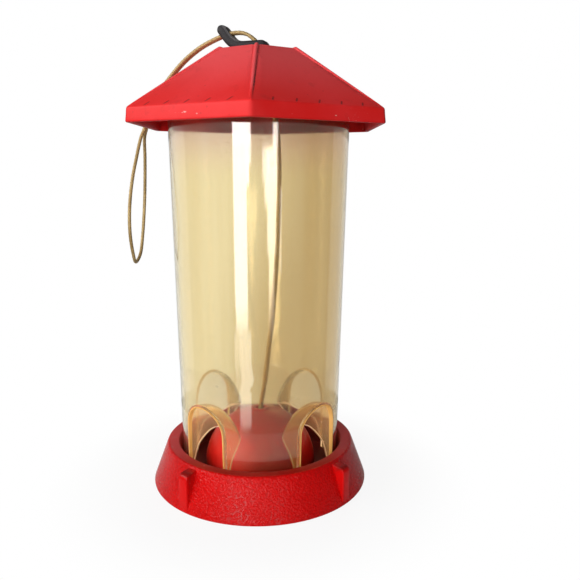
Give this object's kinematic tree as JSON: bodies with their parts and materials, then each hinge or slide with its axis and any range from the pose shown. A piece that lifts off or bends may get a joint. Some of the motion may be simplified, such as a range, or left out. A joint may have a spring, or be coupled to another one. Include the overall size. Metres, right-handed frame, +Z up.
{
  "type": "bird feeder",
  "caption": "Hanging tube bird feeder: a clear tapered seed tube with hooded arch ports stands in a flared round tray under a faceted hip roof, strung on a doubled steel cable.",
  "frame": {"origin": "middle of the tray's foot, on the plane it stands on", "axes": "+Z up along the tube's axis, +X, +Y, -X and -Y out through the four ports"},
  "size_m": [0.1556, 0.1454, 0.2646],
  "materials": {
    "red_plastic": "semi-gloss with a fine grain",
    "clear_plastic": "clear, yellowed with age",
    "black_plastic": "matt",
    "cable_steel": "twisted wire, tarnished golden brown",
    "zinc": "dull"
  },
  "bodies": {
    "base": {"base_tray": "red_plastic", "seed_dome": "red_plastic", "anchor_washer": "zinc", "crimp_ferrule": "zinc", "cable_foot_a": "cable_steel", "cable_foot_b": "cable_steel", "cable_lower_a": "cable_steel", "cable_lower_b": "cable_steel"},
    "tube": {"reservoir_tube": "clear_plastic", "cable_upper_a": "cable_steel", "cable_upper_b": "cable_steel"},
    "roof": {"roof": "red_plastic", "cable_neck_a": "cable_steel", "cable_neck_b": "cable_steel"},
    "keeper": {"cable_keeper": "black_plastic", "hanging_loop": "cable_steel"}
  },
  "joints": [
    {"name": "tube_lift", "type": "slide", "parent": "base", "child": "tube", "axis": [0, 0, 1], "range_m": [0, 0.04], "deforming": ["cable_lower_a", "cable_lower_b"]},
    {"name": "roof_lift", "type": "slide", "parent": "tube", "child": "roof", "axis": [0, 0, 1], "range_m": [0, 0.06], "deforming": ["cable_upper_a", "cable_upper_b"]},
    {"name": "keeper_slide", "type": "slide", "parent": "roof", "child": "keeper", "axis": [0, 0, 1], "range_m": [0, 0.015], "deforming": ["cable_neck_a", "cable_neck_b"]}
  ]
}
